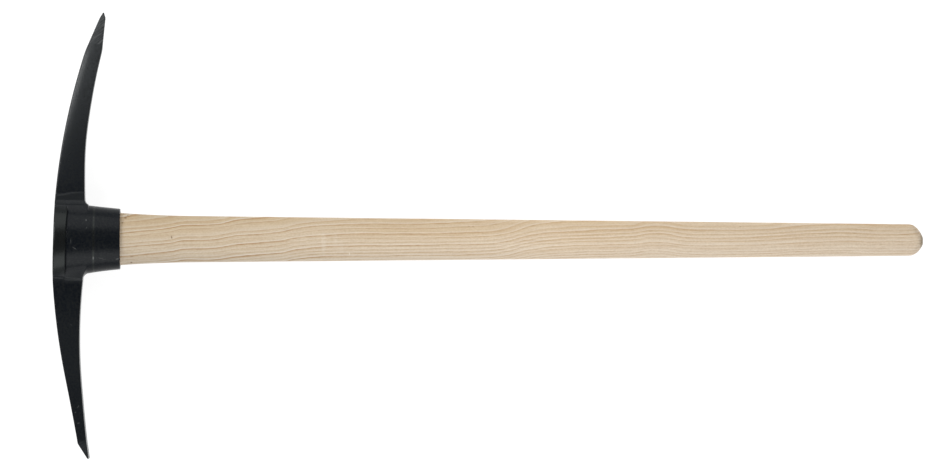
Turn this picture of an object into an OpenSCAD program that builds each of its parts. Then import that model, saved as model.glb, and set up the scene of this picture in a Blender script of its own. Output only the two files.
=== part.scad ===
// Pick axe: a forged head with a point and a chisel, on a drop-in ash handle.
// The tool lies flat. The handle runs along +X, the point lies towards +Y, and +Z is up.
// The origin is on the handle's axis, in the plane of the collar's rim.
// Breadth is measured along Y, in the plane of the arms, and thickness along Z.

/* [Handle] */
// Length of the handle from end to end
handle_length = 950; // [800:5:1100]
// Breadth of the handle at the grip
grip_breadth = 34.6; // [32:0.2:40]
// Thickness of the handle at the grip
grip_thickness = 30; // [26:0.5:34]
// How much less broad the neck is than the eye's exit
neck_breadth_relief = 7.2; // [4:0.2:9]
// How much thinner the neck is than the eye's exit
neck_thickness_relief = 2.6; // [2:0.1:5]
// Length of the flare from the neck to the collar
flare_length = 80; // [40:1:120]
// Length of the rounded butt
butt_length = 15; // [10:0.5:20]
// Share of the grip's section left at the butt's end face
butt_face_share = 0.2; // [0.1:0.02:0.4]
// Squareness of the oval section, where 2 is an ellipse
oval_power = 2.25; // [2:0.05:2.6]

/* [Eye] */
// Breadth of the eye at its mouth, on the back of the head
mouth_breadth = 70; // [66:0.5:74]
// Thickness of the eye at its mouth
mouth_thickness = 45; // [42:0.5:48]
// Breadth of the eye at its exit, in the collar's rim
exit_breadth = 58; // [55:0.5:60]
// Thickness of the eye at its exit
exit_thickness = 38; // [36:0.5:40]
// Depth of the eye along the handle, from the mouth to the rim
eye_depth = 72.2; // [66:0.2:80]
// Wall of the eye at its mouth, towards the arms
shoulder_wall = 7; // [6:0.25:9]
// Wall of the eye at its mouth, on the cheeks
cheek_wall = 7.5; // [6:0.25:9]
// Wall of the collar at its rim
rim_wall = 4.1; // [3.5:0.1:5.5]
// How far the eye's outside lies towards the chisel at its mouth
mouth_offset = 2; // [0:0.25:3]
// Gap between the handle and the eye, all round
handle_clearance = 0.3; // [0.1:0.05:0.5]
// How far the handle's end lies below the eye's mouth
handle_recess = 2; // [1:0.25:6]

/* [Eye trim] */
// Width of the raised band round the eye's mouth
band_width = 13; // [9:0.5:16]
// Height of the raised band
band_height = 1.3; // [0.8:0.1:2]
// Distance of the forging line from the collar's rim
line_distance = 28; // [22:0.5:31]
// Height of the forging line
line_height = 0.4; // [0.3:0.05:0.8]
// Rounding of the mouth's outer edge
mouth_rounding = 2; // [1:0.25:3]
// Rounding of the rim's outer edge
rim_rounding = 1.4; // [0.8:0.1:2]

/* [Arms] */
// Width of both arms at the shoulders, along the handle
root_width = 33; // [30:0.2:36]
// Thickness of both arms at the shoulders
root_thickness = 27; // [24:0.5:30]
// Rounding of the arms' long edges
edge_rounding = 4; // [3:0.25:6]
// Lean of the head towards its point, in degrees
lean = 1.55; // [0:0.05:3]
// How far the shoulders climb up the cheeks, on each side
shoulder_rise = 7; // [4:0.25:8]
// Run of the shoulders along the arms
shoulder_run = 14; // [10:0.5:18]
// Height of the low ledge at the foot of each shoulder
ledge_height = 0.8; // [0.4:0.1:1.5]
// Run of the ledge on the pick arm
pick_ledge = 9; // [5:0.5:14]
// Run of the ledge on the chisel arm
chisel_ledge = 4; // [3:0.5:10]
// Fillet between the arms and the collar
collar_fillet = 3; // [2:0.25:4]

/* [Pick arm] */
// Reach of the point from the handle's axis
pick_reach = 248; // [220:1:280]
// Radius of the pick arm's curve
pick_radius = 650; // [500:10:900]
// Width of the pick arm where the point begins
pick_end_width = 18.2; // [14:0.2:20]
// Thickness of the pick arm where the point begins
pick_end_thickness = 15.5; // [13:0.5:22]
// Length of the point, which is straight
point_length = 43; // [30:1:55]
// Length of the point's forged part, before its ground faces
point_run = 9; // [4:0.5:14]
// Width of the blunt tip
tip_width = 3.4; // [2:0.1:5]

/* [Chisel arm] */
// Reach of the chisel's edge from the handle's axis
chisel_reach = 240.5; // [210:0.5:270]
// Radius of the chisel arm's curve
chisel_radius = 640; // [500:10:900]
// Length of the chisel arm's straight end
chisel_straight = 90; // [50:1:110]
// Width of the chisel arm where the ground bevel begins
chisel_end_width = 9.8; // [7:0.2:12]
// Breadth of the chisel's edge, across the tool
edge_breadth = 40; // [30:0.5:55]
// Length of the ground bevel
bevel_length = 15.5; // [10:0.5:20]
// Thickness left at the chisel's edge
edge_thickness = 1.6; // [0.8:0.1:2.5]

/* [Hidden] */

head_colour = "#25282b";
handle_colour = "#d8c4a3";

// Powers of the tapers and of the eye's offset. A width above 1 is quick to taper at the start.
pick_taper_power = 1.4;
pick_thinning_power = 1.7;
chisel_taper_power = 1.3;
wall_power = 1.5;
offset_power = 2;
spread_power = 1.6;
shoulder_power = 1.3;
butt_power = 1.55;

// Rounding of the edges that the grinding wheel leaves, and the length over which it sharpens them.
ground_rounding = 0.5;
ground_run = 1.5;
// Largest share of a section that an edge's rounding, or of a shoulder that its fillet, may take.
rounding_share = 0.45;
fillet_share = 0.9;
// Share of the shoulder's rise that reaches the belly, and of the tip's width left at its end.
belly_share = 0.4;
tip_face_share = 0.4;
// Slopes beside the band and the forging line.
band_run = 1.2;
line_run = 0.8;
// How far the arms' back lies inside the plane of the eye's mouth.
mouth_set = 0.3;
// How far a cut runs past the piece.
overrun = 12;

// Steps along each stretch of the head and handle, and points round a section.
pick_steps = 16;
point_steps = 4;
tip_steps = 3;
chisel_steps = 16;
bevel_steps = 4;
ledge_steps = 2;
fillet_steps = 4;
shoulder_steps = 6;
corner_steps = 4;
cheek_steps = 4;
collar_steps = 5;
handle_steps = 6;
flare_steps = 10;
butt_steps = 8;
oval_points = 48;

// Outside of the eye's mouth, half across, and the places along Y where the two arms begin.
mouth_half = mouth_breadth / 2 + shoulder_wall + band_height;
pick_root = mouth_half - mouth_offset;
chisel_root = mouth_half + mouth_offset;
point_start = pick_reach - point_length;
pick_grind = point_start + point_run;
chisel_grind = chisel_reach - bevel_length;
chisel_bend = chisel_reach - chisel_straight;
collar_length = eye_depth - root_width;
handle_start = handle_recess - eye_depth;
handle_end = handle_start + handle_length;
grip_end = handle_end - butt_length;

function mix(a, b, t) = a + (b - a) * t;
function clamp(t) = min(max(t, 0), 1);
function taper(root, end, t, power) = end + (root - end) * pow(1 - t, power);

// Rise of an arc at a distance d along its chord, which runs on straight beyond a bend.
function arc_rise(d, radius, bend) =
    let (turned = min(d, bend), depth = sqrt(radius * radius - turned * turned))
    radius - depth + (d - turned) * turned / depth;

// Size of the eye at a place x along the handle.
function eye_breadth(x) = mix(exit_breadth, mouth_breadth, -x / eye_depth);
function eye_thickness(x) = mix(exit_thickness, mouth_thickness, -x / eye_depth);

// One oval about the handle's axis, as points across Y and Z.
function oval(breadth, thickness) = [
    for (i = [0 : oval_points - 1])
        let (a = 360 * i / oval_points)
        [
            breadth / 2 * sign(cos(a)) * pow(abs(cos(a)), 2 / oval_power),
            thickness / 2 * sign(sin(a)) * pow(abs(sin(a)), 2 / oval_power)
        ]
];
function oval_at(x, breadth, thickness) = [for (p = oval(breadth, thickness)) [x, p[0], p[1]]];

// Skin over a list of rings, which all have the same number of points.
module loft(rings) {
    count = len(rings[0]);
    last = len(rings) - 1;
    sides = [
        for (r = [0 : last - 1], i = [0 : count - 1])
            let (j = (i + 1) % count, a = r * count, b = a + count)
            each [[a + i, b + i, b + j], [a + i, b + j, a + j]]
    ];
    first_cap = [for (i = [0 : count - 1]) i];
    last_cap = [for (i = [count - 1 : -1 : 0]) last * count + i];
    polyhedron(points = [for (ring = rings) each ring], faces = concat(sides, [first_cap, last_cap]));
}

// Wall of the eye at x, thin at the rim and thicker towards the mouth.
function eye_wall(x, mouth_wall) = rim_wall + (mouth_wall - rim_wall) * pow(-x / eye_depth, wall_power);

// How far the eye's outside lies towards the chisel at x.
function eye_offset(x) = mouth_offset * pow(-x / eye_depth, offset_power);

// Outside of the eye at x, which leans with the head towards its mouth. Extra stands proud of the wall.
function eye_ring(x, extra) =
    let (
        share = -x / eye_depth,
        breadth = eye_breadth(x) + 2 * (eye_wall(x, shoulder_wall) + extra),
        thickness = eye_thickness(x) + 2 * (eye_wall(x, cheek_wall) + extra)
    )
    [for (p = oval(breadth, thickness))
        let (y = p[0] - eye_offset(x))
        [x + y * tan(lean) * share, y, p[1]]];

// Half breadth of the eye at a height z where the arms' belly meets the collar, on the side of an arm.
function collar_half(side, z) =
    let (
        breadth = eye_breadth(-collar_length) / 2 + eye_wall(-collar_length, shoulder_wall),
        thickness = eye_thickness(-collar_length) / 2 + eye_wall(-collar_length, cheek_wall),
        share = pow(1 - pow(clamp(abs(z) / thickness), oval_power), 1 / oval_power)
    )
    breadth * share - side * eye_offset(-collar_length);

// Barrel of the eye, with its raised band, its forging line and the collar's rounded rim.
module eye_barrel() {
    mouth = [for (i = [0 : corner_steps]) let (a = 90 * i / corner_steps)
        eye_ring(-eye_depth + mouth_rounding * (1 - sin(a)), band_height + mouth_rounding * (cos(a) - 1))];
    edge = -eye_depth + band_width;
    band = [eye_ring(edge, band_height), eye_ring(edge + band_run, 0)];
    cheek = [for (i = [1 : cheek_steps])
        eye_ring(mix(edge + band_run, -line_distance - line_run, i / cheek_steps), 0)];
    line = [eye_ring(-line_distance, line_height), eye_ring(-line_distance + line_run, 0)];
    collar = [for (i = [1 : collar_steps - 1])
        eye_ring(mix(-line_distance + line_run, -rim_rounding, i / collar_steps), 0)];
    rim = [for (i = [0 : corner_steps]) let (a = 90 * i / corner_steps)
        eye_ring(rim_rounding * (sin(a) - 1), rim_rounding * (cos(a) - 1))];
    loft(concat([for (i = [corner_steps : -1 : 0]) mouth[i]], band, cheek, line, collar, rim));
}

// Sizes of the arm that y lies on.
function side_of(y) = y < 0 ? -1 : 1;
function root_of(y) = y < 0 ? chisel_root : pick_root;
function ledge_of(y) = y < 0 ? chisel_ledge : pick_ledge;

// Place of the arms' middle line at y: straight across the eye, then along each arm's curve.
function arm_centre(y) =
    let (
        d = max(abs(y) - root_of(y), 0),
        rise = y < 0 ? arc_rise(d, chisel_radius, chisel_bend - chisel_root)
            : arc_rise(d, pick_radius, point_start - pick_root)
    )
    mouth_set - eye_depth + root_width / 2 + y * tan(lean) + rise;

// Share of the section that the rounded tip leaves at y.
function tip_blunting(y) =
    let (in_tip = clamp(1 - (pick_reach - y) / (tip_width / 2)))
    sqrt(1 - (1 - tip_face_share * tip_face_share) * in_tip * in_tip);

// Width of an arm at y, along the handle.
function arm_width(y) =
    abs(y) <= root_of(y) ? root_width
    : y > point_start ? mix(pick_end_width, tip_width, (y - point_start) / point_length) * tip_blunting(y)
    : y > 0 ? taper(root_width, pick_end_width, (y - pick_root) / (point_start - pick_root), pick_taper_power)
    : -y > chisel_grind ? mix(chisel_end_width, edge_thickness, (-y - chisel_grind) / bevel_length)
    : taper(root_width, chisel_end_width, (-y - chisel_root) / (chisel_grind - chisel_root),
        chisel_taper_power);

// Half thickness of an arm at y, with the low ledge at its root.
function arm_half(y) =
    let (past = abs(y) - root_of(y), ledge = ledge_height * clamp(1 - past / ledge_of(y)))
    ledge + (past <= 0 ? root_thickness
    : y > point_start ? mix(pick_end_thickness, tip_width, (y - point_start) / point_length) * tip_blunting(y)
    : y > 0 ? mix(root_thickness, pick_end_thickness,
        pow(past / (point_start - pick_root), pick_thinning_power))
    : mix(root_thickness, edge_breadth, pow(past / (chisel_reach - chisel_root), spread_power))) / 2;

// Rise of the shoulder at y, where the arm climbs the eye's cheek.
function shoulder_at(y) =
    shoulder_rise * pow(clamp((root_of(y) - abs(y)) / shoulder_run), shoulder_power);

// Rounding of the arms' long edges at y, crisp on the ground point and bevel.
function arm_rounding(y) =
    let (
        ground = max(y - pick_grind, -y - chisel_grind),
        wanted = mix(edge_rounding, ground_rounding, clamp(ground / ground_run))
    )
    min(wanted, rounding_share * min(arm_width(y), 2 * arm_half(y)));

// Fillet from an arm's belly to the collar, limited by the room that the shoulder leaves.
function fillet_of(y) = min(collar_fillet, fillet_share * (root_of(y) - collar_half(side_of(y), 0)));
function belly_fillet(y, z) =
    let (fillet = fillet_of(y), reach = clamp(1 - (abs(y) - collar_half(side_of(y), z)) / fillet))
    fillet * (1 - sqrt(1 - reach * reach));

// Section of an arm at y, from back to belly above the tool's plane and back again below it.
function arm_ring(y) =
    let (
        width = arm_width(y),
        bevel = -y > chisel_grind ? (chisel_end_width - width) / 2 : 0,
        back = arm_centre(y) - width / 2 + bevel,
        belly = back + width,
        back_half = arm_half(y) + shoulder_at(y),
        belly_half = arm_half(y) + shoulder_at(y) * belly_share,
        rounding = arm_rounding(y),
        upper = concat(
            [for (i = [0 : corner_steps]) let (a = 180 - 90 * i / corner_steps)
                [back + rounding + rounding * cos(a), back_half - rounding + rounding * sin(a)]],
            [for (i = [0 : corner_steps])
                let (a = 90 - 90 * i / corner_steps, z = belly_half - rounding + rounding * sin(a))
                [belly - rounding + rounding * cos(a) + belly_fillet(y, z), z]]
        )
    )
    concat(
        [for (p = upper) [p[0], y, p[1]]],
        [[belly + belly_fillet(y, 0), y, 0]],
        [for (i = [len(upper) - 1 : -1 : 0]) [upper[i][0], y, -upper[i][1]]]
    );

// Places of the rings from the eye's middle outwards to an arm's ground end.
function shoulder_places(side) =
    let (
        root = root_of(side),
        half = collar_half(side, 0),
        fillet = fillet_of(side),
        inner = root - shoulder_run
    )
    concat(
        [for (i = [0 : shoulder_steps - 1]) mix(inner, half, i / shoulder_steps)],
        [for (i = [0 : fillet_steps - 1]) half + fillet * (1 - cos(90 * i / fillet_steps))],
        [for (i = [0 : ledge_steps]) mix(root, root + ledge_of(side), i / ledge_steps)]
    );
function arm_places(side, forged_end, grind, ground_end, along, ground) =
    let (start = root_of(side) + ledge_of(side))
    concat(
        shoulder_places(side),
        [for (i = [1 : along]) mix(start, forged_end, i / along)],
        forged_end < grind ? [grind] : [],
        [for (i = [0 : ground]) mix(grind + ground_run, ground_end, i / ground)]
    );

// Both arms as one bar, forged through the eye.
module arms() {
    tip_start = pick_reach - tip_width / 2;
    pick = arm_places(1, point_start, pick_grind, tip_start, pick_steps, point_steps);
    tip = [for (i = [1 : tip_steps]) mix(tip_start, pick_reach, sin(90 * i / tip_steps))];
    chisel = arm_places(-1, chisel_grind, chisel_grind, chisel_reach, chisel_steps, bevel_steps);
    places = concat([for (i = [len(chisel) - 1 : -1 : 0]) -chisel[i]], [0], pick, tip);
    loft([for (y = places) arm_ring(y)]);
}

// Tapered eye, wide at the mouth, that the handle drops through.
module eye_cut() {
    loft([for (x = [-eye_depth - overrun, overrun]) oval_at(x, eye_breadth(x), eye_thickness(x))]);
}

module head() {
    color(head_colour) difference() {
        union() {
            arms();
            eye_barrel();
        }
        eye_cut();
    }
}

// Size of the handle at x: the eye's own taper, a flare, a straight taper to the grip, and the butt.
function handle_size(x, exit, relief, grip, in_eye) =
    let (
        neck = exit - relief,
        straight = mix(neck, grip, (x - flare_length) / (grip_end - flare_length)),
        straight_at_rim = mix(neck, grip, -flare_length / (grip_end - flare_length)),
        flare = (exit - 2 * handle_clearance - straight_at_rim) * pow(max(1 - x / flare_length, 0), 2),
        in_butt = pow(clamp((x - grip_end) / butt_length), butt_power),
        rounded = sqrt(1 - (1 - butt_face_share * butt_face_share) * in_butt)
    )
    x <= 0 ? in_eye - 2 * handle_clearance : (straight + flare) * rounded;

// Turned blank of the handle, longer than the handle at both ends.
module handle_blank() {
    flare_places = [for (i = [0 : flare_steps]) mix(0, flare_length, i / flare_steps)];
    grip_places = [for (i = [1 : handle_steps]) mix(flare_length, grip_end, i / handle_steps)];
    butt_places = [for (i = [1 : butt_steps]) mix(grip_end, handle_end, sin(90 * i / butt_steps))];
    places = concat([handle_start - overrun], flare_places, grip_places, butt_places, [handle_end + overrun]);
    loft([for (x = places)
        oval_at(x,
            handle_size(x, exit_breadth, neck_breadth_relief, grip_breadth, eye_breadth(x)),
            handle_size(x, exit_thickness, neck_thickness_relief, grip_thickness, eye_thickness(x)))]);
}

module handle() {
    saw_width = mouth_breadth + overrun;
    color(handle_colour) intersection() {
        handle_blank();
        translate([handle_start, -saw_width / 2, -saw_width / 2])
            cube([handle_length, saw_width, saw_width]);
    }
}

head();
handle();
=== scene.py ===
from math import atan2, copysign, cos, exp, pi, radians, sin, sqrt, tan

import bmesh
import bpy
from mathutils import Matrix, Vector


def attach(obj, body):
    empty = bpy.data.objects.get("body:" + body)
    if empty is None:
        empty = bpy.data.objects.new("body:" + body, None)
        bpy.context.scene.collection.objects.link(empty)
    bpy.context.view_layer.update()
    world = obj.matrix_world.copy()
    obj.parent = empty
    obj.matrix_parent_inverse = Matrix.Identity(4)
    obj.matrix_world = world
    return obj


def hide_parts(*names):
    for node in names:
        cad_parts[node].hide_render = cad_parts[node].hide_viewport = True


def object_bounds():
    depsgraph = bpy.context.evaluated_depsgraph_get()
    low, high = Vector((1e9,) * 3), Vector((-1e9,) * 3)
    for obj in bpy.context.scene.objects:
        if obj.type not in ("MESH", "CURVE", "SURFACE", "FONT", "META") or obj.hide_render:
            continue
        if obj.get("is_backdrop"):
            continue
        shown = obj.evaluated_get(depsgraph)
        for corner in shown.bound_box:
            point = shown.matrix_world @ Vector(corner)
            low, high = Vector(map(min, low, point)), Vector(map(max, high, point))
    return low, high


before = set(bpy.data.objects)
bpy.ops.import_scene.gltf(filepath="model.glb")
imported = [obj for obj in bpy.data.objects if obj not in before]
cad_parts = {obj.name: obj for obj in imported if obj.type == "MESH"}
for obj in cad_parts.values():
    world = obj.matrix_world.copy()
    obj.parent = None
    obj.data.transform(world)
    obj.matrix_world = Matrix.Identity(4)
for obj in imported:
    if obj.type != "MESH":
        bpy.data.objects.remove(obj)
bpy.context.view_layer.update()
mm = 0.001  # every size below is in millimetres
print("frame: loaded", ", ".join(sorted(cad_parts)))


def mix(a, b, t):
    return a + (b - a) * t


def clamp(t):
    return min(max(t, 0), 1)


# value at a place, from a list of places and values
def between(points, place):
    for (low, first), (high, last) in zip(points, points[1:]):
        if place <= high:
            return mix(first, last, clamp((place - low) / (high - low)))
    return points[-1][1]


# sRGB hex to the linear colour that a socket takes, by the sRGB standard's own numbers
def toLinear(hexColour):
    parts = [int(hexColour[i:i + 2], 16) / 255 for i in (1, 3, 5)]
    return [p / 12.92 if p <= 0.04045 else ((p + 0.055) / 1.055) ** 2.4 for p in parts] + [1]


# one node with its settings; a feed is a value, a socket, or a node whose shown output is used
def addNode(tree, kind, feeds=None, stops=None, points=None, **settings):
    node = tree.nodes.new("ShaderNode" + kind)
    for name, value in settings.items():
        setattr(node, name, value)
    for key, source in (feeds or {}).items():
        shown = [s for s in node.inputs if s.enabled]
        target = shown[key] if isinstance(key, int) else next(s for s in shown if s.name == key)
        if isinstance(source, bpy.types.Node):
            source = next(s for s in source.outputs if s.enabled)
        if isinstance(source, bpy.types.NodeSocket):
            tree.links.new(source, target)
        else:
            target.default_value = source
    if stops:  # colour ramp
        ramp = node.color_ramp.elements
        ends = [ramp[0], ramp[1]]
        for element, (place, grey) in zip(ends, (stops[0], stops[-1])):
            element.position, element.color = place, (grey, grey, grey, 1)
        for place, grey in stops[1:-1]:
            ramp.new(place).color = (grey, grey, grey, 1)
    if points:  # float curve
        curve = node.mapping.curves[0].points
        curve[0].location, curve[1].location = points[0], points[-1]
        for place, height in points[1:-1]:
            curve.new(place, height)
        node.mapping.update()
    return node


def newMaterial(name):
    material = bpy.data.materials.new(name)
    material.use_nodes = True
    tree = material.node_tree
    tree.nodes.clear()
    return material, tree


# how deep marks go into a piece in millimetres, and their soft edge in shares of their size
markShape = {"depth": 14, "edge": {"From Min": 1.15, "From Max": 0.5}}


# share of the strongest mark, each given as middle, half length, half width, turn and strength
def addMarks(tree, millimetres, marks):
    marked = None
    for middle, halfLength, halfWidth, turn, strength in marks:
        mark = addNode(tree, "Mapping", {
            "Vector": millimetres, "Location": middle, "Rotation": (0, 0, radians(turn)),
            "Scale": (halfLength, halfWidth, markShape["depth"])}, vector_type="TEXTURE")
        away = addNode(tree, "VectorMath", {0: mark}, operation="LENGTH")
        shown = addNode(tree, "MapRange", {"Value": away, "To Max": strength, **markShape["edge"]})
        marked = addNode(tree, "Math", {0: shown, 1: marked}, operation="MAXIMUM") if marked else shown
    return marked


# a finished bmesh as a smooth, subdivided piece at the origin
def finishPiece(bm, name, material, levels):
    bmesh.ops.recalc_face_normals(bm, faces=bm.faces)
    for face in bm.faces:
        face.smooth = True
    bmesh.ops.scale(bm, vec=(mm, mm, mm), verts=bm.verts)
    mesh = bpy.data.meshes.new(name)
    bm.to_mesh(mesh)
    bm.free()
    mesh.materials.append(material)
    piece = bpy.data.objects.new(name, mesh)
    bpy.context.scene.collection.objects.link(piece)
    skin = piece.modifiers.new("Subdivision", "SUBSURF")
    skin.levels = skin.render_levels = levels
    return piece


# point of an oval at a turn from +Y towards +Z
def ovalSpot(turn, breadth, thickness, power):
    across, up = cos(turn), sin(turn)
    return (breadth / 2 * copysign(abs(across) ** (2 / power), across),
            thickness / 2 * copysign(abs(up) ** (2 / power), up))


# ring of the next row, extruded from the last one
def growRing(bm, edges):
    grown = bmesh.ops.extrude_edge_only(bm, edges=edges)["geom"]
    verts = {g for g in grown if isinstance(g, bmesh.types.BMVert)}
    edges = [g for g in grown if isinstance(g, bmesh.types.BMEdge) and set(g.verts) <= verts]
    return verts, edges


# camera straight above the tool, as the photograph was taken
shot = {"aim": (386.5, 3.8), "height": 12000, "across": 1035.2, "roll": 0.07, "sensor": 36}
lens = bpy.data.cameras.new("camera")
lens.sensor_width = shot["sensor"]
lens.lens = lens.sensor_width * shot["height"] / shot["across"]
camera = bpy.data.objects.new("camera", lens)
camera.location = Vector((*shot["aim"], shot["height"])) * mm
camera.rotation_euler.z = radians(shot["roll"])
bpy.context.scene.collection.objects.link(camera)
bpy.context.scene.camera = camera
print("camera: set")


headForging = {
    "points": 48, "levels": 2,  # round the eye, and of subdivision
    "mouth": (70, 45), "exit": (58, 38), "depth": 72.2,  # the tapered eye, breadth and thickness
    "mouthWall": (7, 7.5), "rimWall": 4.1, "wallPower": 1.5,
    "oval": 2.25,  # 2 is an ellipse
    "lean": 1.55, "offset": 2, "offsetPower": 2,  # the eye leans with the arms and lies towards the chisel
    # outside of the eye, mouth to rim: place, height over the wall, paint wear
    "outside": [
        (-72.2, -0.9, 0), (-71.85, 0.75, 0.3), (-70.6, 1.3, 0.1), (-66, 1.3, 0), (-60.1, 1.3, 0),
        (-58.8, 1.25, 0.05), (-58.3, 0.5, 0), (-58, -0.8, 0), (-57.15, -0.8, 0), (-57.05, -0.08, 0),
        (-56.95, 0, 0), (-56.6, 0, 0), (-46, 0, 0), (-38.5, 0.2, 0), (-35.6, 0.35, 0), (-32.5, 0.5, 0),
        (-29.6, 0.45, 0), (-28.5, 0.45, 0.1), (-28, 0.53, 0.3), (-27.5, 0.41, 0.1), (-26.4, 0.36, 0),
        (-21, 0.3, 0), (-15, 0.3, 0), (-9, 0.3, 0), (-4, 0.3, 0), (-0.3, 0.3, 0), (0.6, 0.1, 0.05),
        (0.8, -0.8, 0),
    ],
    # the eye's own wall, rim back to mouth
    "hole": [
        (0.8, 0.9, 0), (0.3, 0.15, 0), (-1.7, 0, 0), (-36, 0, 0), (-69, 0, 0), (-71.6, 0.2, 0),
        (-72.2, 1.2, 0.1),
    ],
    "crease": (-61, -55), "creaseBend": 1.1,  # behind the band, bent to the handle on the pick's side
    "burnished": ((-73, -58.5, 0.77), (-28.6, -27.4, 0.86)),  # the band and the ring line: from, to, share
    # painted highlight: the shoulders are tinted lighter where they rise
    "shoulderHighlight": 0.22,
    "armColumns": (1, 14), "armRows": 5,  # rings and half rows of the eye that the arms grow from
    "rootWidth": 33, "rootHalf": 13.5, "mouthSet": 0.3,  # both arms where they leave the eye
    "bellyShare": 0.4,  # of the shoulders' rise, at the belly
    "blend": 26,  # the eye's spacing gives way to the arms' over this length
    "forgedEdge": (2.2, 2), "groundEdge": (0.9, 0.9),  # support loops from the back and belly edges
    "edgeShares": (0.42, 0.8),  # most that they take of the width and of the half thickness
    "flatShares": (0.35, 0.7),  # rows between the parting line and the long edge
    "grindReach": 4,  # stations this near the grinding slant with its edge
    "seamHalf": 1.8, "seamShare": 0.15, "seamHeight": 0.3,  # parting line on the arms' narrow sides
    "filletPower": 4,  # keeps the fillets to the belly, beside the collar
    "longEdgeWear": 0.05, "rubbedReach": 2,  # rubbing of the long edges, and its length on the two ends
}

# An arm goes by the distance from the handle's axis: it leaves the eye at the root, curves on over
# the bend, begins its end at the point, is ground from the grind on, and stops at its reach.
pickArm = {
    "side": 1, "root": 41.3, "collar": 37.2, "fillet": 6, "radius": 650, "bend": 163.7,
    "point": 205, "grind": 214, "grindSlant": -3.3, "reach": 248,
    "endWidth": 18.8, "endHalf": 7.75, "power": 1.2, "thinPower": 1.7,
    "tip": 4.5, "tipShift": 0.8, "nib": 5.5, "nibShare": 0.3, "nibShift": 0.7,  # shifted to the back
    "hollow": (104, 35, 1),  # shallow dip in the belly: place, half length, depth
    "crown": 0.2, "filed": 1, "edgeWear": 0.1,  # at the point: rounding of the flats, wheel marks, rubbing
    # enamel rubbed greyer towards the point, lightened further as painted light where the arm catches more
    # light: place, share
    "greyedAndLit": [(41, 0), (73, 0.14), (100, 0.2), (139, 0.43), (192, 0.77), (206, 0.71), (219, 0.7),
               (231, 0.82), (248, 0.85)],
    # shoulder: place, slant across the arm, rise over the arm, paint wear
    "shoulder": [
        (37.4, 0, 3.6, 0), (38.4, 0, 3.9, 0.05), (39.2, 0, 3.6, 0.14), (39.8, 0, 2.3, 0),
        (41.1, 0, 2.2, 0.14), (41.9, 0, 1.1, 0), (43.6, 0, 1, 0), (46.5, 1.5, 0.95, 0),
        (49.3, 3.3, 0.95, 0.12), (50.3, 3.3, 0.05, 0), (52.5, 3, 0, 0),
    ],
    "places": [58, 68, 80, 94, 108, 122, 136, 150, 164, 178, 190, 199, 206, 211, 213.6, 214.4,
               217, 224, 234, 240, 242.2, 243, 245.5, 247.2, 248],
}

chiselArm = {
    "side": -1, "root": 45.3, "collar": 38.7, "fillet": 3, "radius": 640, "bend": 107.5,
    "point": 223.6, "grind": 222, "grindSlant": -3.6, "reach": 240.5,
    "endWidth": 10, "endHalf": 20, "power": 1.3, "thinPower": 1.6, "edge": 1.6,
    "crown": 0, "filed": 0.35, "edgeWear": 0.45,
    # enamel rubbed greyer, partly painted light: place, share
    "greyedAndLit": [(45, 0), (72, 0.01), (95, 0.1), (146, 0.13), (168, 0.07), (220, 0.07), (223, 0.26),
               (240, 0.28)],
    "shoulder": [
        (40.6, 2, 3.5, 0), (42.2, 3.8, 3, 0.14), (43.1, 3.8, 1, 0), (45.2, 3.2, 0.6, 0),
        (49.4, 1.5, 0, 0),
    ],
    "places": [56, 66, 78, 92, 106, 120, 134, 148, 162, 176, 190, 203, 213, 218.4, 221.6, 222.4,
               225, 232, 237, 239.7, 240.5],
}


# point of the eye's outside, or of its hole
def eyeSpot(turn, x, proud, walled):
    s = headForging
    share = max(-x / s["depth"], 0)
    sizes = [mix(small, big, share) + 2 * proud for small, big in zip(s["exit"], s["mouth"])]
    if walled:
        sizes = [size + 2 * mix(s["rimWall"], wall, share ** s["wallPower"])
                 for size, wall in zip(sizes, s["mouthWall"])]
    y, z = ovalSpot(turn, *sizes, s["oval"])
    shift = y * tan(radians(s["lean"])) * share
    if walled:
        y -= s["offset"] * share ** s["offsetPower"]
        low, high = s["crease"]
        if low < x < high:
            shift += s["creaseBend"] * max(2 * y / s["mouth"][0], 0) ** 2
    return x + shift, y, z


# section of an arm at a distance from the handle: back, width, half thickness, share of its length
def armSection(arm, y):
    s = headForging
    past = max(y - arm["root"], 0)
    turned = min(past, arm["bend"])
    depth = sqrt(arm["radius"] ** 2 - turned ** 2)
    rise = arm["radius"] - depth + (past - turned) * turned / depth
    slope = arm["side"] * y * tan(radians(s["lean"]))
    centre = s["mouthSet"] - s["depth"] + s["rootWidth"] / 2 + slope + rise
    along = clamp(past / (arm["point"] - arm["root"]))
    ground = clamp((y - arm["point"]) / (arm["reach"] - arm["point"]))
    width = arm["endWidth"] + (s["rootWidth"] - arm["endWidth"]) * (1 - along) ** arm["power"]
    back = centre - width / 2
    if "tip" in arm:  # four ground sides that run to a nib
        nib = clamp(1 - (arm["reach"] - y) / arm["nib"])
        drawnIn = mix(1, arm["nibShare"], nib)
        half = mix(s["rootHalf"], arm["endHalf"], along ** arm["thinPower"])
        half = mix(half, arm["tip"] / 2, ground) * drawnIn
        width = mix(width, arm["tip"], ground) * drawnIn
        back = centre - width / 2 - arm["tipShift"] * ground - arm["nibShift"] * nib
        place, span, depth = arm["hollow"]
        width -= depth * exp(-((y - place) / span) ** 2)
    else:  # a spreading end with one ground bevel, on its back
        spread = clamp(past / (arm["reach"] - arm["root"])) ** arm["thinPower"]
        half = mix(s["rootHalf"], arm["endHalf"], spread)
        taken = (arm["endWidth"] - arm["edge"]) * ground
        back, width = back + taken, width - taken
    return back, width, half, along


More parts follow.
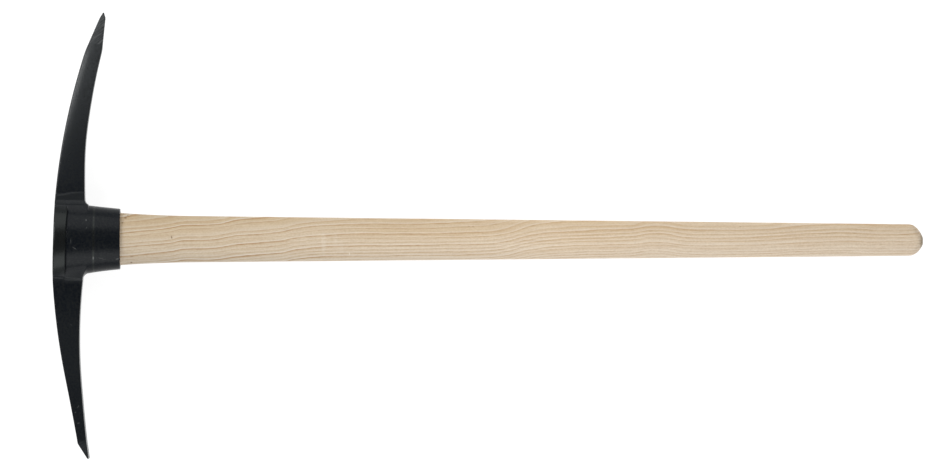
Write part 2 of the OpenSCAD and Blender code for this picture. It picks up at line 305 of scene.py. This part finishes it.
# one arm, drawn out of the eye's side station by station
def growArm(bm, arm, layers):
    s = headForging
    first, last = s["armColumns"]
    columns, rows = last - first, s["armRows"]
    step = 2 * pi / s["points"]
    ringPlaces = [row[0] for row in s["outside"][first:last + 1]]
    ringShares = [(x - ringPlaces[0]) / (ringPlaces[-1] - ringPlaces[0]) for x in ringPlaces]
    rowShares = [sin(step * r) ** (2 / s["oval"]) / sin(step * rows) ** (2 / s["oval"])
                 for r in range(rows + 1)]
    for vert in bm.verts:
        turn = vert[layers["turn"]]
        fromMiddle = turn if arm["side"] > 0 else copysign(pi - abs(turn), turn)
        vert[layers["row"]] = round(fromMiddle / step)
        vert[layers["column"]] = vert[layers["ring"]] - first
    faces = [f for f in bm.faces if all(
        0 <= v[layers["column"]] <= columns and abs(v[layers["row"]]) <= rows for v in f.verts)]
    slants = [arm["grindSlant"] * (abs(y - arm["grind"]) < s["grindReach"]) for y in arm["places"]]
    stations = arm["shoulder"] + [(y, slant, 0, 0) for y, slant in zip(arm["places"], slants)]
    for place, slant, lift, wear in stations:
        edges = s["groundEdge"] if place > arm["grind"] else s["forgedEdge"]
        grown = bmesh.ops.extrude_face_region(bm, geom=faces)["geom"]
        bmesh.ops.delete(bm, geom=[f for f in faces if f.is_valid], context="FACES")
        faces = [g for g in grown if isinstance(g, bmesh.types.BMFace)]
        drawn = clamp((place - arm["root"]) / s["blend"])
        for vert in (g for g in grown if isinstance(g, bmesh.types.BMVert)):
            column, row = vert[layers["column"]], vert[layers["row"]]
            y = place + slant * (column / columns - 1 / 2)  # the place holds at the middle
            back, width, half, along = armSection(arm, y)
            most = min(share * size for share, size in zip(s["edgeShares"], (width, half)))
            backEdge, bellyEdge = (min(edge, most) for edge in edges)
            inner = (column - 1) / (columns - 2)
            spaced = {0: 0, columns: 1}.get(column, mix(backEdge, width - bellyEdge, inner) / width)
            across = mix(ringShares[column], spaced, drawn)
            level = abs(row)
            half += lift * mix(1, s["bellyShare"], across)
            half *= 1 - arm["crown"] * along * (2 * across - 1) ** 2
            seamHalf = min(s["seamHalf"], s["seamShare"] * half)
            shelf = half - mix(backEdge, bellyEdge, across)
            flats = [mix(seamHalf, shelf, share) for share in s["flatShares"]]
            heights = (0, seamHalf, *flats, shelf, half)
            up = mix(rowShares[level], heights[level] / half, drawn) * half
            reach = clamp(1 - (y - arm["collar"]) / arm["fillet"])
            fillet = arm["fillet"] * (1 - sqrt(1 - reach ** 2)) * across ** s["filletPower"]
            seam = s["seamHeight"] * drawn * (row == 0) * (place < arm["grind"])
            seam *= {0: -1, columns: 1}.get(column, 0)
            vert.co = (back + across * width + fillet + seam, arm["side"] * y, copysign(up, row))
            longEdge = column in (0, columns) and level == rows
            vert[layers["wear"]] = max(wear, s["longEdgeWear"] * longEdge)
            # grey tint: rubbed enamel with painted light along the arms, and a painted highlight on the
            # rising shoulders
            vert[layers["grey"]] = max(between(arm["greyedAndLit"], y), s["shoulderHighlight"] * clamp(lift))
            vert[layers["ground"]] = arm["filed"] * (place > arm["grind"])
            vert[layers["polish"]] = 0
            if place >= arm["reach"] - s["rubbedReach"]:
                vert[layers["wear"]] = arm["edgeWear"]


def buildHead(material):
    s = headForging
    bm = bmesh.new()
    kinds = {"turn": "float", "ring": "int", "row": "int", "column": "int",
             "wear": "float", "grey": "float", "polish": "float", "ground": "float"}
    for name, kind in kinds.items():
        getattr(bm.verts.layers, kind).new(name)
    layers = {name: getattr(bm.verts.layers, kind)[name] for name, kind in kinds.items()}
    bmesh.ops.create_circle(bm, segments=s["points"], radius=1, matrix=Matrix.Rotation(pi / 2, 4, "Y"))
    for vert in bm.verts:
        vert[layers["turn"]] = atan2(vert.co.z, vert.co.y)
    verts, edges = set(bm.verts), list(bm.edges)
    mouthEdges = edges
    rows = [(*row, True) for row in s["outside"]] + [(*row, False) for row in s["hole"]]
    for index, (x, proud, wear, walled) in enumerate(rows):
        polish = sum(share for low, high, share in s["burnished"] if low < x < high)
        if index:
            verts, edges = growRing(bm, edges)
        for vert in verts:
            vert.co = eyeSpot(vert[layers["turn"]], x, proud, walled)
            vert[layers["ring"]] = index
            vert[layers["wear"]] = wear
            vert[layers["polish"]] = walled * polish
    bmesh.ops.bridge_loops(bm, edges=mouthEdges + edges)
    for arm in (pickArm, chiselArm):
        growArm(bm, arm, layers)
    for name in ("turn", "ring", "row", "column"):
        kind = getattr(bm.verts.layers, kinds[name])
        kind.remove(kind[name])
    return finishPiece(bm, "forged_head", material, s["levels"])


turnedHandle = {
    "points": 48, "levels": 2,
    "start": -70.2, "end": 879.8, "gap": 0.6,  # the sawn end, the butt's end, and the play in the eye
    "neckRelief": (7.2, 2.6), "flare": 80, "grip": (34.6, 30),
    "butt": 15, "buttShift": 1.2,
    # the butt's rounding across its breadth and its thickness: share at the end, two powers
    "buttRound": ((0.2, 2.05, 0.75), (0.2, 7, 0.5)),
    # the sawn end in the eye: place from the start, share of the section
    "sawnEnd": [(0, 0.05), (0, 0.5), (0, 0.93), (0.15, 0.975), (0.9, 1)],
    "places": [-62, -45, -25, -8, 0, 5, 12, 20, 30, 42, 56, 70, 84, 110, 160, 230, 320, 420, 520,
               620, 720, 800, 845, 860, 864.3],
    "buttSteps": 9, "buttFace": [0.6, 0.2],  # rings of the rounding, and of the face drawn in to its middle
}


# breadth and thickness of the handle at a place
def handleSection(x):
    s = turnedHandle
    eye = headForging
    if x <= 0:
        return [mix(small, big, -x / eye["depth"]) - s["gap"]
                for small, big in zip(eye["exit"], eye["mouth"])]
    gripEnd = s["end"] - s["butt"]
    inButt = clamp((x - gripEnd) / s["butt"])
    sizes = []
    for small, relief, grip, shape in zip(eye["exit"], s["neckRelief"], s["grip"], s["buttRound"]):
        endShare, power, ease = shape
        rounded = (1 - (1 - endShare ** (1 / ease)) * inButt ** power) ** ease
        straight = mix(small - relief, grip, (x - s["flare"]) / (gripEnd - s["flare"]))
        atRim = mix(small - relief, grip, -s["flare"] / (gripEnd - s["flare"]))
        flare = (small - s["gap"] - atRim) * max(1 - x / s["flare"], 0) ** 2
        sizes.append((straight + flare) * rounded)
    return sizes


def buildHandle(material):
    s = turnedHandle
    bm = bmesh.new()
    turnLayer = bm.verts.layers.float.new("turn")
    bmesh.ops.create_circle(bm, cap_ends=True, segments=s["points"], radius=1,
                            matrix=Matrix.Rotation(pi / 2, 4, "Y"))
    for vert in bm.verts:
        vert[turnLayer] = atan2(vert.co.z, vert.co.y)
    gripEnd = s["end"] - s["butt"]
    rows = [(s["start"] + x, share) for x, share in s["sawnEnd"]]
    rows += [(x, 1) for x in s["places"]]
    for i in range(s["buttSteps"]):
        rows.append((mix(gripEnd, s["end"], sin(pi / 2 * (i + 1) / s["buttSteps"])), 1))
    rows += [(s["end"], share) for share in s["buttFace"]]
    verts, edges = set(bm.verts), list(bm.edges)
    for index, (x, share) in enumerate(rows):
        if index:
            verts, edges = growRing(bm, edges)
        breadth, thickness = handleSection(x)
        shift = s["buttShift"] * clamp((x - gripEnd) / s["butt"]) ** 2
        for vert in verts:
            y, z = ovalSpot(vert[turnLayer], breadth * share, thickness * share, headForging["oval"])
            vert.co = (x, y - shift, z)
    bmesh.ops.contextual_create(bm, geom=edges)
    bm.verts.layers.float.remove(turnLayer)
    return finishPiece(bm, "ash_handle", material, s["levels"])


# Black enamel dipped over a drop forging. It is semi-matt with a slight orange peel, the forging's
# scale shows through it in soft dents, and ridges are rubbed towards the grey steel.
blackEnamel = {
    # the grey tint is partly painted light on the arms and a painted highlight on the shoulders
    "dark": "#06090e", "light": "#0b0f14", "greyedAndLit": "#37393a", "polished": "#2e302f",
    "steel": "#8f9191", "chip": "#a9aaa8",
    "roughness": {"To Min": 0.25, "To Max": 0.32},
    "sheen": 0.145,  # matted, so it mirrors less than a gloss enamel
    # patterns: size in millimetres, detail
    "patterns": {
        "tone": (24, 4), "mottle": (2.1, 3), "rub": (2.4, 4), "scale": (9, 3),
        "peel": (1.8, 2),  # orange peel is under 1 mm, drawn coarser to show
    },
    "blotches": {"From Min": 0.42, "From Max": 0.74, "To Max": 0.5},  # burnished by handling
    "grindMm": (16, 1.5), "grindTurn": 38, "grindDetail": 3,  # wheel marks: length and spacing, slant
    "wheelMarks": {"From Min": 0.45, "From Max": 0.7}, "wheelTint": 0.2,
    "rubbed": {"From Min": 0.8, "From Max": 1.7},  # of wear and pattern added up
    "rubMetal": {"From Max": 0.16, "To Max": 0.9},
    # strength and depth in millimetres of the dents, the orange peel and the wheel marks
    "relief": [(0.3, 0.5), (0.25, 0.12), (0.4, 0.3)],
    # rubs and chips on the upper side: middle, half length, half width, turn, strength
    "marks": [
        ((-36, 20.6, 24), 1.1, 0.7, 90, 0.15), ((-35.6, 12.2, 27), 1.2, 0.5, 60, 0.1),
        ((-52.6, -2.4, 29), 3, 0.5, 90, 0.08), ((-48.6, -10, 28), 3.2, 0.5, -30, 0.12),
        ((-28.2, -20.8, 22), 0.8, 1.8, 0, 0.12), ((-1.9, -21.8, 18), 2, 0.5, 8, 0.2),
        ((-19, -21.6, 18), 5, 0.4, -14, 0.07), ((-44.7, -183.4, 16), 2, 0.4, 55, 0.12),
        ((-47.8, -189.6, 16), 0.8, 0.6, 0, 0.14), ((-44.3, -201.5, 16), 1.8, 0.7, 20, 0.08),
        ((-52.6, -93.9, 14), 1.3, 0.4, -50, 0.08),
    ],
}


def makeEnamel():
    s = blackEnamel
    material, tree = newMaterial("black_enamel_on_drop_forged_steel")
    place = addNode(tree, "TexCoord").outputs["Object"]
    millimetres = addNode(tree, "VectorMath", {0: place, "Scale": 1 / mm}, operation="SCALE")
    wear, grey, polish, ground = (addNode(tree, "Attribute", attribute_name=name).outputs["Fac"]
                                  for name in ("wear", "grey", "polish", "ground"))
    noises = {}
    for name, (size, detail) in s["patterns"].items():
        noises[name] = addNode(tree, "TexNoise", {
            "Vector": millimetres, "Scale": 1 / size, "Detail": detail})

    # the band, the ring line, and blotches everywhere, are burnished and mirror more
    blotch = addNode(tree, "MapRange", {"Value": noises["mottle"], **s["blotches"]})
    burnished = addNode(tree, "Math", {0: blotch, 1: polish}, operation="MAXIMUM")
    # wheel marks on the ground point and bevel
    length, spacing = s["grindMm"]
    slant = addNode(tree, "Mapping", {
        "Vector": millimetres, "Rotation": (0, 0, radians(s["grindTurn"])),
        "Scale": (length, spacing, length)}, vector_type="TEXTURE")
    wheel = addNode(tree, "TexNoise", {"Vector": slant, "Scale": 1, "Detail": s["grindDetail"]})
    wheelMarks = addNode(tree, "MapRange", {"Value": wheel, **s["wheelMarks"]})
    groundShare = addNode(tree, "Math", {0: wheelMarks, 1: ground}, operation="MULTIPLY")
    groundTint = addNode(tree, "Math", {0: groundShare, 1: s["wheelTint"]}, operation="MULTIPLY")
    # rubbed ridges, chips and scratches
    rubSum = addNode(tree, "Math", {0: wear, 1: noises["rub"]}, operation="ADD")
    rubbed = addNode(tree, "MapRange", {"Value": rubSum, **s["rubbed"]})
    bare = addNode(tree, "Math", {0: rubbed, 1: groundTint}, operation="MAXIMUM")
    marked = addMarks(tree, millimetres, s["marks"])

    # colours laid over one another: share, colour
    colour = toLinear(s["dark"])
    # the grey share is partly painted light
    for share, name in ((noises["tone"], "light"), (grey, "greyedAndLit"), (burnished, "polished"),
                        (bare, "steel"), (marked, "chip")):
        colour = addNode(tree, "Mix", {"Factor": share, "A": colour, "B": toLinear(s[name])},
                         data_type="RGBA")
    rubMetal = addNode(tree, "MapRange", {"Value": rubbed, **s["rubMetal"]})
    metal = addNode(tree, "Math", {0: rubMetal, 1: burnished}, operation="MAXIMUM")
    roughness = addNode(tree, "MapRange", {"Value": noises["rub"], **s["roughness"]})

    normal = {}  # each relief is laid on the one before
    for height, (strength, depth) in zip((noises["scale"], noises["peel"], groundShare), s["relief"]):
        normal = {"Normal": addNode(tree, "Bump", {
            "Strength": strength, "Distance": depth * mm, "Height": height, **normal})}
    shader = addNode(tree, "BsdfPrincipled", {
        "Base Color": colour, "Metallic": metal, "Roughness": roughness,
        "Specular IOR Level": s["sheen"], **normal})
    addNode(tree, "OutputMaterial", {"Surface": shader})
    return material


# Ash, turned and sanded, with no finish. It is pale and ring-porous: each year ends in a thin
# brown line of open pores with a whitish streak beside it, and the pores show as dashes.
sandedAsh = {
    # the last two colours carry painted shade: on the ends, over their darker end grain, and towards the
    # head
    "pale": "#dfd1bd", "tan": "#d3be9f", "line": "#aa7c43", "streak": "#e9e0d3", "pore": "#8b6a42",
    "speck": "#6b4a22", "rub": "#efe8dc", "shadedEndGrain": "#55472e", "headShade": "#dcdddc",
    "roughness": {"To Min": 0.55, "To Max": 0.68}, "sheen": 0.1,
    # patterns drawn out along the handle: length and width in millimetres, detail
    "patterns": {
        "wave": (95, 16, 2), "ripple": (22, 6, 2), "fibre": (70, 1.2, 4), "tone": (160, 22, 3),
        "pore": (9, 0.8, 2),  # pores are a third of a millimetre wide, drawn coarser to show
        "grit": (2.2, 1.4, 1),  # sanding grain, drawn coarser to show
    },
    # how far the grain climbs along the handle: place, climb
    "run": [(-70, -8), (2, 0), (57, 5.5), (72, 8.2), (98, 8.6), (130, 13), (175, 17), (196, 21.2),
            (230, 24.2), (300, 25.4), (395, 27), (412, 28.4), (455, 38), (475, 40.2), (560, 43.4),
            (587, 46.4), (625, 42.6), (700, 42.8), (745, 45.6), (800, 47.6), (825, 46.6), (881, 47.4)],
    "climbSpan": (-10, 60),
    "waveHeight": {"To Min": -1.8, "To Max": 1.8}, "rippleHeight": {"To Min": -0.6, "To Max": 0.6},
    "pith": (-230, -25),  # far off, so the rings show as flat arcs on the ends
    # rings by their distance from the handle's axis: distance, years
    "rings": [(-90, 0), (-34, 15.4), (-22, 18.4), (-10, 21), (0, 23), (12, 25.3), (40, 30.4)],
    "ringWidth": {"From Min": -34, "From Max": 4, "To Min": 3.7, "To Max": 5.2},
    "unevenScale": 0.6, "unevenYears": 0.9,  # how often, and by how much, a year's end is early or late
    "yearEnd": 0.5,  # where in its turn a year ends
    # brown line before a year's end and pale streak after it, over this many millimetres each way
    "edgeMm": 2.5,
    "lineShape": [(0, 0), (0.12, 0), (0.34, 0.9), (0.47, 1), (0.52, 0), (1, 0)],
    "streakShape": [(0, 0), (0.48, 0), (0.54, 1), (0.62, 1), (0.85, 0), (1, 0)],
    # near the head about every third year is strong, farther on they are more alike
    "nearHead": {"From Min": 480, "From Max": 150}, "strongStep": 0.36, "strongStart": 0.1,
    "strong": {"From Min": 0.4, "From Max": 0.3, "To Min": 0.4, "To Max": 1.1},
    "alike": {"To Min": 0.3, "To Max": 0.64},
    "patches": {"From Min": 0.3, "From Max": 0.7, "To Min": 0.6, "To Max": 1},  # fainter here and there
    # pores gather in the lines and break them into dashes
    "dashes": {"From Min": 0.42, "From Max": 0.66}, "unbroken": 0.55,
    "linePores": 0.6, "loosePores": 0.16, "poreDepth": 0.6,
    "fibres": {"From Min": 0.35, "From Max": 0.7, "To Max": 0.24},
    "grit": {"From Min": 0.35, "From Max": 0.7, "To Max": 0.16},
    "lineShare": 0.8, "streakShare": 0.6, "poreShare": 0.4,
    # painted shade: the far side of the handle is tinted darker, as if less lit
    "farShade": 0.018,  # share of tan gained for each millimetre towards +Y
    # resin specks, a nick and knocks: middle, half length, half width, turn, strength
    "specks": [
        ((6.6, 23.3, 10), 1.9, 1.3, 0, 0.62), ((3.4, 17.8, 12), 1.2, 1, 0, 0.58),
        ((9.1, 25.7, 8), 1.3, 1, 0, 0.4), ((13.1, -25.6, 8), 1.4, 0.9, 0, 0.65),
        ((13.7, -19.1, 12), 2, 0.8, 0, 0.4), ((57.4, 2, 18), 1.8, 0.8, 100, 0.68),
        ((382.7, 14.2, 12), 1.2, 0.6, 0, 0.3), ((387, 14.2, 12), 1, 0.6, 0, 0.3),
        ((679.6, 14.2, 10), 1.2, 0.6, 0, 0.35),
    ],
    # light chatter of the lathe tool
    "chatter": [
        ((223.6, -5, 16), 3, 13, 0, 0.14), ((237, 0, 16), 2.6, 8, 0, 0.1),
        ((243, -9, 16), 3, 8, 0, 0.08), ((251.9, -16, 10), 0.6, 1.9, 0, 0.5),
    ],
    # painted shade: the handle is darker towards the head, but less so under and just beside the collar,
    # where a painted light offsets the collar's shadow on the wood
    "shadeTowardsHead": {"From Min": 480, "From Max": 0},
    "rimLight": {"From Min": 0.5, "From Max": 8, "To Min": 0.45},
    # the ends are painted darker, partly their own darker brown end grain and partly painted shade on the
    # end faces: where it starts and where it is full, from the end
    "buttShade": (4.4, 1.2), "sawnShade": (0.6, 0.1), "endShadeShare": 0.75,
    "relief": (0.2, 0.15),  # strength, and depth in millimetres
}


def makeAsh():
    s = sandedAsh
    material, tree = newMaterial("sanded_turned_ash")
    place = addNode(tree, "TexCoord").outputs["Object"]
    millimetres = addNode(tree, "VectorMath", {0: place, "Scale": 1 / mm}, operation="SCALE")
    axes = addNode(tree, "SeparateXYZ", {0: millimetres}).outputs
    noises = {}
    for name, (length, width, detail) in s["patterns"].items():
        drawn = addNode(tree, "VectorMath", {0: millimetres, 1: (1 / length, 1 / width, 1 / width)},
                        operation="MULTIPLY")
        noises[name] = addNode(tree, "TexNoise", {"Vector": drawn, "Scale": 1, "Detail": detail})

    # the grain's climb and its waves
    first, last = s["run"][0][0], s["run"][-1][0]
    low, high = s["climbSpan"]
    along = addNode(tree, "MapRange", {"Value": axes["X"], "From Min": first, "From Max": last})
    run = addNode(tree, "FloatCurve", {"Value": along}, points=[
        ((x - first) / (last - first), (climb - low) / (high - low)) for x, climb in s["run"]])
    climb = addNode(tree, "MapRange", {"Value": run, "To Min": low, "To Max": high})
    wave = addNode(tree, "MapRange", {"Value": noises["wave"], **s["waveHeight"]})
    ripple = addNode(tree, "MapRange", {"Value": noises["ripple"], **s["rippleHeight"]})
    level = addNode(tree, "Math", {0: axes["Y"], 1: climb}, operation="SUBTRACT")
    waved = addNode(tree, "Math", {0: wave, 1: ripple}, operation="ADD")
    levelled = addNode(tree, "Math", {0: level, 1: waved}, operation="ADD")

    # rings about the pith, and the years that they show
    pithY, pithZ = s["pith"]
    fromPithY = addNode(tree, "Math", {0: levelled, 1: pithY}, operation="SUBTRACT")
    fromPithZ = addNode(tree, "Math", {0: axes["Z"], 1: pithZ}, operation="SUBTRACT")
    fromPith = addNode(tree, "CombineXYZ", {"Y": fromPithY, "Z": fromPithZ})
    radius = addNode(tree, "VectorMath", {0: fromPith}, operation="LENGTH")
    distance = addNode(tree, "Math", {0: radius, 1: pithY}, operation="ADD")
    first, last = s["rings"][0][0], s["rings"][-1][0]
    oldest = s["rings"][-1][1]
    within = addNode(tree, "MapRange", {"Value": distance, "From Min": first, "From Max": last})
    grown = addNode(tree, "FloatCurve", {"Value": within}, points=[
        ((spot - first) / (last - first), year / oldest) for spot, year in s["rings"]])
    years = addNode(tree, "Math", {0: grown, 1: oldest}, operation="MULTIPLY")
    uneven = addNode(tree, "TexNoise", {"W": years, "Scale": s["unevenScale"], "Detail": 1},
                     noise_dimensions="1D")
    unevenYears = addNode(tree, "Math", {0: uneven, 1: s["unevenYears"], 2: years},
                          operation="MULTIPLY_ADD")
    phase = addNode(tree, "Math", {0: unevenYears}, operation="FRACT")
    year = addNode(tree, "Math", {0: unevenYears}, operation="FLOOR")
    fromEnd = addNode(tree, "Math", {0: phase, 1: s["yearEnd"]}, operation="SUBTRACT")
    ringWidth = addNode(tree, "MapRange", {"Value": distance, **s["ringWidth"]},
                        interpolation_type="SMOOTHSTEP")
    beyond = addNode(tree, "Math", {0: fromEnd, 1: ringWidth}, operation="MULTIPLY")
    edge = addNode(tree, "MapRange", {"Value": beyond, "From Min": -s["edgeMm"], "From Max": s["edgeMm"]})

    # how strongly each year shows
    lot = addNode(tree, "TexWhiteNoise", {"W": year}, noise_dimensions="1D")
    turns = addNode(tree, "Math", {0: year, 1: s["strongStep"], 2: s["strongStart"]},
                    operation="MULTIPLY_ADD")
    turn = addNode(tree, "Math", {0: turns}, operation="FRACT")
    strong = addNode(tree, "MapRange", {"Value": turn, **s["strong"]})
    alike = addNode(tree, "MapRange", {"Value": lot, **s["alike"]})
    nearHead = addNode(tree, "MapRange", {"Value": axes["X"], **s["nearHead"]})
    yearStrength = addNode(tree, "Mix", {"Factor": nearHead, "A": alike, "B": strong}, data_type="FLOAT")
    patch = addNode(tree, "MapRange", {"Value": noises["tone"], **s["patches"]})
    strength = addNode(tree, "Math", {0: yearStrength, 1: patch}, operation="MULTIPLY")
    lineShape = addNode(tree, "ValToRGB", {"Fac": edge}, stops=s["lineShape"])
    streakShape = addNode(tree, "ValToRGB", {"Fac": edge}, stops=s["streakShape"])
    dash = addNode(tree, "MapRange", {"Value": noises["pore"], **s["dashes"]})
    broken = addNode(tree, "Math", {0: dash, 1: 1 - s["unbroken"], 2: s["unbroken"]},
                     operation="MULTIPLY_ADD")
    solidLine = addNode(tree, "Math", {0: lineShape, 1: strength}, operation="MULTIPLY")
    line = addNode(tree, "Math", {0: solidLine, 1: broken}, operation="MULTIPLY")
    streak = addNode(tree, "Math", {0: streakShape, 1: strength}, operation="MULTIPLY")
    poreShare = addNode(tree, "Math", {0: line, 1: s["linePores"], 2: s["loosePores"]},
                        operation="MULTIPLY_ADD")
    pores = addNode(tree, "Math", {0: dash, 1: poreShare}, operation="MULTIPLY")

    # colours laid over one another: share, colour
    # random tone of the wood, plus painted shade towards +Y
    toneAndFarShade = addNode(tree, "Math", {0: axes["Y"], 1: s["farShade"], 2: noises["tone"]},
                       operation="MULTIPLY_ADD")
    fibre = addNode(tree, "MapRange", {"Value": noises["fibre"], **s["fibres"]})
    grit = addNode(tree, "MapRange", {"Value": noises["grit"], **s["grit"]})
    lineShare = addNode(tree, "Math", {0: line, 1: s["lineShare"]}, operation="MULTIPLY")
    streakShare = addNode(tree, "Math", {0: streak, 1: s["streakShare"]}, operation="MULTIPLY")
    shownPores = addNode(tree, "Math", {0: pores, 1: s["poreShare"]}, operation="MULTIPLY")
    specks = addMarks(tree, millimetres, s["specks"])
    chatter = addMarks(tree, millimetres, s["chatter"])
    colour = toLinear(s["pale"])
    for share, name in ((toneAndFarShade, "tan"), (fibre, "line"), (grit, "pore"), (lineShare, "line"),
                        (streakShare, "streak"), (shownPores, "pore"), (chatter, "rub"), (specks, "speck")):
        colour = addNode(tree, "Mix", {"Factor": share, "A": colour, "B": toLinear(s[name])},
                         data_type="RGBA")
    # painted shade towards the head, with a painted light beside the collar's rim
    shadeTowardsHead = addNode(tree, "MapRange", {"Value": axes["X"], **s["shadeTowardsHead"]})
    rimLight = addNode(tree, "MapRange", {"Value": axes["X"], **s["rimLight"]})
    headShade = addNode(tree, "Math", {0: shadeTowardsHead, 1: rimLight}, operation="MULTIPLY")
    colour = addNode(tree, "Mix", {"Factor": headShade, "A": colour, "B": toLinear(s["headShade"])},
                     data_type="RGBA", blend_type="MULTIPLY")
    # painted shade on both ends over their darker end grain, broken by the pores' dashes
    ends = [(turnedHandle["end"], -1, s["buttShade"]), (turnedHandle["start"], 1, s["sawnShade"])]
    for end, inwards, (start, full) in ends:
        endShade = addNode(tree, "MapRange", {
            "Value": axes["X"], "From Min": end + inwards * start, "From Max": end + inwards * full,
            "To Max": s["endShadeShare"]}, interpolation_type="SMOOTHSTEP")
        dashedEndShade = addNode(tree, "Math", {0: endShade, 1: broken}, operation="MULTIPLY")
        colour = addNode(tree, "Mix", {"Factor": dashedEndShade, "A": colour, "B": toLinear(s["shadedEndGrain"])},
                         data_type="RGBA")

    roughness = addNode(tree, "MapRange", {"Value": noises["fibre"], **s["roughness"]})
    hollow = addNode(tree, "Math", {0: pores, 1: -s["poreDepth"], 2: noises["fibre"]},
                     operation="MULTIPLY_ADD")
    strength, depth = s["relief"]
    bump = addNode(tree, "Bump", {"Strength": strength, "Distance": depth * mm, "Height": hollow})
    shader = addNode(tree, "BsdfPrincipled", {"Base Color": colour, "Roughness": roughness,
                                              "Specular IOR Level": s["sheen"], "Normal": bump})
    addNode(tree, "OutputMaterial", {"Surface": shader})
    return material


head = buildHead(makeEnamel())
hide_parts("head")
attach(head, "head_body")
print("head:", len(head.data.polygons), "faces before subdivision")

handle = buildHandle(makeAsh())
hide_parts("handle")
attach(handle, "handle_body")
print("handle:", len(handle.data.polygons), "faces before subdivision")


# Matt acrylic, lit from below, so that it is white all over and holds hardly a shadow. It lies
# level under the cheek, and the head clears it all the way down the handle.
table = {"size": 16000, "surface": "#767675", "roughness": 0.7, "light": "#ffffff", "glow": 0.9}


def makeTable():
    s = table
    material, tree = newMaterial("matt_white_acrylic")
    shader = addNode(tree, "BsdfPrincipled", {
        "Base Color": toLinear(s["surface"]), "Roughness": s["roughness"],
        "Emission Color": toLinear(s["light"]), "Emission Strength": s["glow"]})
    addNode(tree, "OutputMaterial", {"Surface": shader})
    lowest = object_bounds()[0][2]
    bm = bmesh.new()
    bmesh.ops.create_grid(bm, x_segments=2, y_segments=2, size=s["size"] * mm / 2)
    bmesh.ops.translate(bm, verts=bm.verts, vec=(0, 0, lowest))
    mesh = bpy.data.meshes.new("table")
    bm.to_mesh(mesh)
    bm.free()
    mesh.materials.append(material)
    piece = bpy.data.objects.new("table", mesh)
    bpy.context.scene.collection.objects.link(piece)
    return piece


makeTable()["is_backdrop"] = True

# two long softboxes beside the tool, a small one past the head, and a white room, dark overhead
studio = {
    "aim": (520, 0, 0),
    # name, turn about the tool, height of the light in degrees, distance, length, width, watts
    "softboxes": [
        ("far_softbox", 90, 46, 1900, 2600, 1600, 22.8),
        ("near_softbox", -90, 44, 1900, 2600, 1500, 28.6),
        ("head_softbox", 164, 35, 1760, 500, 900, 15),
    ],
    # light at the horizon and dark overhead, by the height of the direction
    "room": {"From Min": 0.2, "From Max": 0.5, "To Min": 0.75, "To Max": 0.04}, "air": "#f2f7ff",
}
for name, turn, rise, distance, length, width, watts in studio["softboxes"]:
    lamp = bpy.data.lights.new(name, "AREA")
    lamp.shape = "RECTANGLE"
    lamp.size = length * mm
    lamp.size_y = width * mm
    lamp.energy = watts
    box = bpy.data.objects.new(name, lamp)
    flat = cos(radians(rise))
    away = Vector((cos(radians(turn)) * flat, sin(radians(turn)) * flat, sin(radians(rise))))
    box.location = (Vector(studio["aim"]) + away * distance) * mm
    box.rotation_euler = away.to_track_quat("Z", "Y").to_euler()
    box.visible_camera = False
    bpy.context.scene.collection.objects.link(box)

room = bpy.data.worlds.new("white_room")
room.use_nodes = True
tree = room.node_tree
tree.nodes.clear()
direction = addNode(tree, "SeparateXYZ", {0: addNode(tree, "TexCoord").outputs["Generated"]})
lightness = addNode(tree, "MapRange", {"Value": direction.outputs["Z"], **studio["room"]},
                    interpolation_type="SMOOTHSTEP")
glow = addNode(tree, "Background", {"Color": toLinear(studio["air"]), "Strength": lightness})
addNode(tree, "OutputWorld", {"Surface": glow})
bpy.context.scene.world = room
bpy.context.scene.view_settings.view_transform = "Standard"
print("studio: lit")
